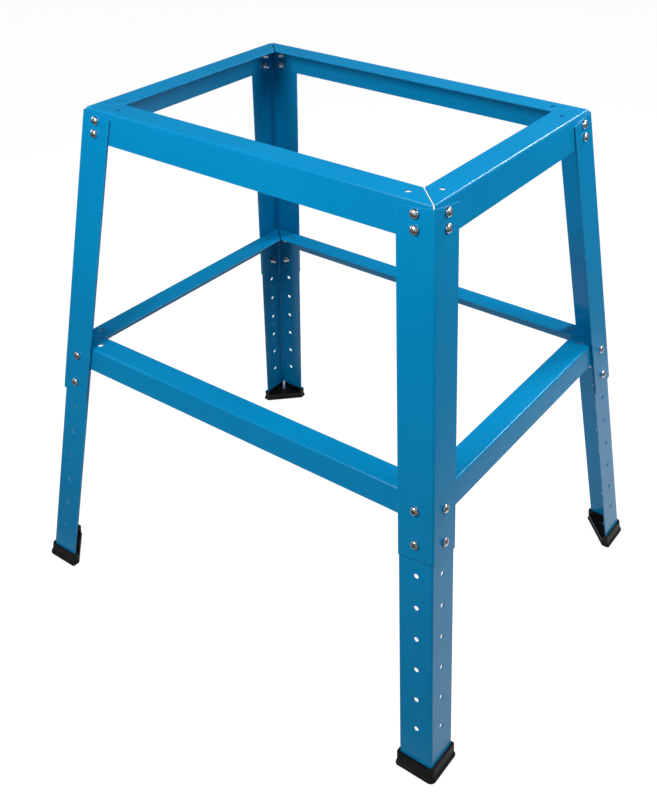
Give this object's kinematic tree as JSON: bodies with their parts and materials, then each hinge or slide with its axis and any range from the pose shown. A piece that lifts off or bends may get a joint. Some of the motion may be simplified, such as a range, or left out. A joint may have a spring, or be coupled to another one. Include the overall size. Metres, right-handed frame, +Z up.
{
  "type": "bench grinder stand",
  "caption": "Bolted stand of folded blue steel angles: open rectangular top frame, lower stretcher frame, splayed telescoping angle legs pinned at hole rows, moulded rubber feet.",
  "frame": {"origin": "on the floor, under the centre of the top frame", "axes": "+Z up, +X along the long side, -Y the front long side that the picture shows on the left"},
  "size_m": [0.7752, 0.6314, 0.78],
  "materials": {
    "blue_paint": "smooth semi-gloss",
    "zinc": "bright zinc plate",
    "black_rubber": "satin moulded"
  },
  "bodies": {
    "frame": {"top_rail_front": "blue_paint", "top_rail_right": "blue_paint", "top_rail_back": "blue_paint", "top_rail_left": "blue_paint", "stretcher_front": "blue_paint", "stretcher_right": "blue_paint", "stretcher_back": "blue_paint", "stretcher_left": "blue_paint", "upper_leg_front_left": "blue_paint", "rail_bolt_upper_front_left_on_front": "zinc", "rail_bolt_upper_front_left_on_left": "zinc", "rail_bolt_lower_front_left_on_front": "zinc", "rail_bolt_lower_front_left_on_left": "zinc", "stretcher_bolt_front_left_on_front": "zinc", "stretcher_bolt_front_left_on_left": "zinc", "leg_bolt_front_left_on_front": "zinc", "leg_bolt_front_left_on_left": "zinc", "upper_leg_front_right": "blue_paint", "rail_bolt_upper_front_right_on_right": "zinc", "rail_bolt_upper_front_right_on_front": "zinc", "rail_bolt_lower_front_right_on_right": "zinc", "rail_bolt_lower_front_right_on_front": "zinc", "stretcher_bolt_front_right_on_right": "zinc", "stretcher_bolt_front_right_on_front": "zinc", "leg_bolt_front_right_on_right": "zinc", "leg_bolt_front_right_on_front": "zinc", "upper_leg_back_right": "blue_paint", "rail_bolt_upper_back_right_on_back": "zinc", "rail_bolt_upper_back_right_on_right": "zinc", "rail_bolt_lower_back_right_on_back": "zinc", "rail_bolt_lower_back_right_on_right": "zinc", "stretcher_bolt_back_right_on_back": "zinc", "stretcher_bolt_back_right_on_right": "zinc", "leg_bolt_back_right_on_back": "zinc", "leg_bolt_back_right_on_right": "zinc", "upper_leg_back_left": "blue_paint", "rail_bolt_upper_back_left_on_left": "zinc", "rail_bolt_upper_back_left_on_back": "zinc", "rail_bolt_lower_back_left_on_left": "zinc", "rail_bolt_lower_back_left_on_back": "zinc", "stretcher_bolt_back_left_on_left": "zinc", "stretcher_bolt_back_left_on_back": "zinc", "leg_bolt_back_left_on_left": "zinc", "leg_bolt_back_left_on_back": "zinc"},
    "lower_leg_front_left": {"lower_leg_front_left": "blue_paint", "foot_front_left": "black_rubber", "foot_bolt_front_left": "zinc", "foot_nut_front_left": "zinc"},
    "lower_leg_front_right": {"lower_leg_front_right": "blue_paint", "foot_front_right": "black_rubber", "foot_bolt_front_right": "zinc", "foot_nut_front_right": "zinc"},
    "lower_leg_back_right": {"lower_leg_back_right": "blue_paint", "foot_back_right": "black_rubber", "foot_bolt_back_right": "zinc", "foot_nut_back_right": "zinc"},
    "lower_leg_back_left": {"lower_leg_back_left": "blue_paint", "foot_back_left": "black_rubber", "foot_bolt_back_left": "zinc", "foot_nut_back_left": "zinc"}
  },
  "joints": [
    {"name": "leg_slide_front_left", "type": "slide", "parent": "frame", "child": "lower_leg_front_left", "axis": [0.1286, 0.1413, 0.9816], "range_m": [0, 0.285]},
    {"name": "leg_slide_front_right", "type": "slide", "parent": "frame", "child": "lower_leg_front_right", "axis": [-0.1286, 0.1413, 0.9816], "range_m": [0, 0.285]},
    {"name": "leg_slide_back_right", "type": "slide", "parent": "frame", "child": "lower_leg_back_right", "axis": [-0.1286, -0.1413, 0.9816], "range_m": [0, 0.285]},
    {"name": "leg_slide_back_left", "type": "slide", "parent": "frame", "child": "lower_leg_back_left", "axis": [0.1286, -0.1413, 0.9816], "range_m": [0, 0.285]}
  ]
}
